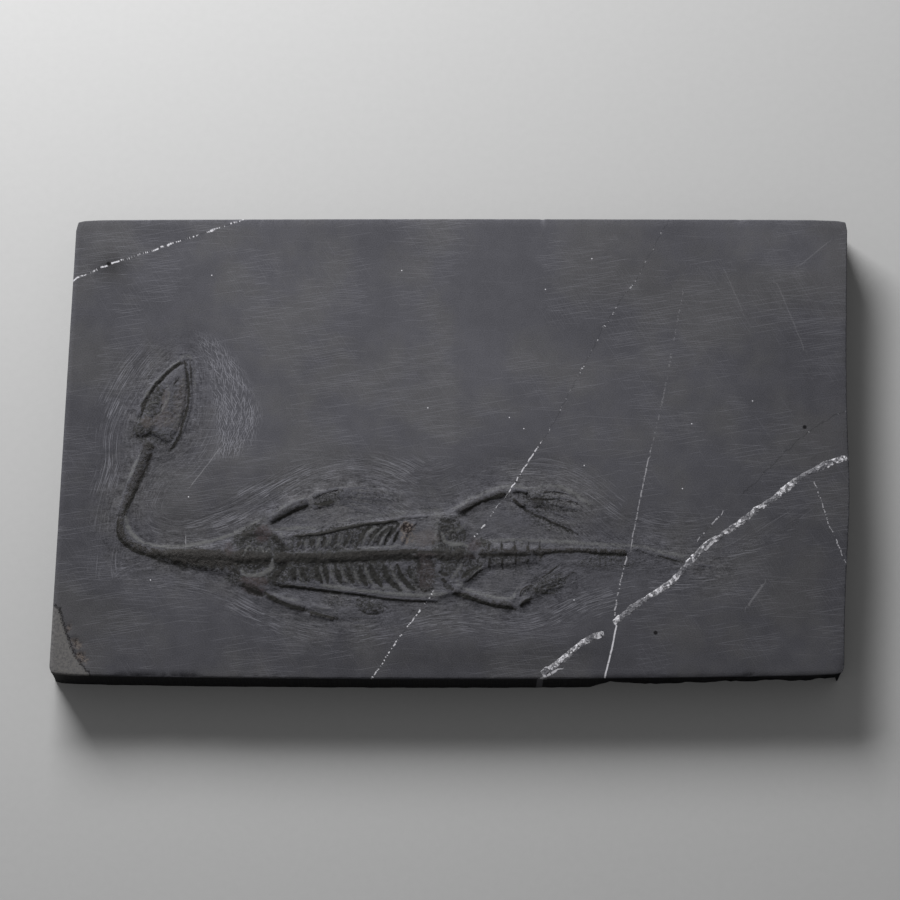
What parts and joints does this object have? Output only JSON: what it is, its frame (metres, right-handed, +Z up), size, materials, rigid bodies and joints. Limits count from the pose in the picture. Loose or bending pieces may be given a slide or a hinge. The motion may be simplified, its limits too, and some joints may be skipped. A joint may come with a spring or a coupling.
{
  "type": "fossil keichousaurus skeleton",
  "caption": "Fossil marine reptile skeleton with skull, long bent neck, ribs, limbs and tail, raised in a scraped hollow on a flat sawn slab of dark shale crossed by a white calcite vein.",
  "frame": {"origin": "middle of the slab's flat underside", "axes": "+Z up out of the slab's face, +X along the slab from the animal's head towards its tail, +Y from the front edge to the back edge"},
  "size_m": [0.2548, 0.152, 0.0164],
  "materials": {
    "shale": "dark grey shale, sanded matt, with fine scraped tool marks around the bones",
    "fossil_bone": "black-brown mineralised bone with a low gloss",
    "calcite": "white and grey granular calcite"
  },
  "bodies": {
    "root": {"slab": "shale", "calcite_vein_front": "calcite", "calcite_vein_back": "calcite", "skull": "fossil_bone", "lower_jaw_left": "fossil_bone", "lower_jaw_right": "fossil_bone", "neck_front": "fossil_bone", "neck_bend": "fossil_bone", "neck_base": "fossil_bone", "trunk_spine": "fossil_bone", "tail_front": "fossil_bone", "tail_rear": "fossil_bone", "tail_tip": "fossil_bone", "rib_upper_1": "fossil_bone", "rib_upper_2": "fossil_bone", "rib_upper_3": "fossil_bone", "rib_upper_4": "fossil_bone", "rib_upper_5": "fossil_bone", "rib_upper_6": "fossil_bone", "rib_upper_7": "fossil_bone", "rib_upper_8": "fossil_bone", "rib_upper_9": "fossil_bone", "rib_upper_10": "fossil_bone", "rib_lower_1": "fossil_bone", "rib_lower_2": "fossil_bone", "rib_lower_3": "fossil_bone", "rib_lower_4": "fossil_bone", "rib_lower_5": "fossil_bone", "rib_lower_6": "fossil_bone", "rib_lower_7": "fossil_bone", "rib_lower_8": "fossil_bone", "rib_lower_9": "fossil_bone", "rib_lower_10": "fossil_bone", "gastralia_upper": "fossil_bone", "gastralia_lower": "fossil_bone", "scapula_upper": "fossil_bone", "scapula_lower": "fossil_bone", "coracoid_upper": "fossil_bone", "coracoid_lower": "fossil_bone", "humerus_upper": "fossil_bone", "radius_upper": "fossil_bone", "ulna_upper": "fossil_bone", "hand_upper": "fossil_bone", "humerus_lower": "fossil_bone", "radius_lower": "fossil_bone", "ulna_lower": "fossil_bone", "hand_lower": "fossil_bone", "pubis_upper": "fossil_bone", "pubis_lower": "fossil_bone", "ischium_upper": "fossil_bone", "ischium_lower": "fossil_bone", "femur_upper": "fossil_bone", "tibia_upper": "fossil_bone", "fibula_upper": "fossil_bone", "foot_upper": "fossil_bone", "femur_lower": "fossil_bone", "tibia_lower": "fossil_bone", "fibula_lower": "fossil_bone", "foot_lower": "fossil_bone"}
  },
  "joints": []
}
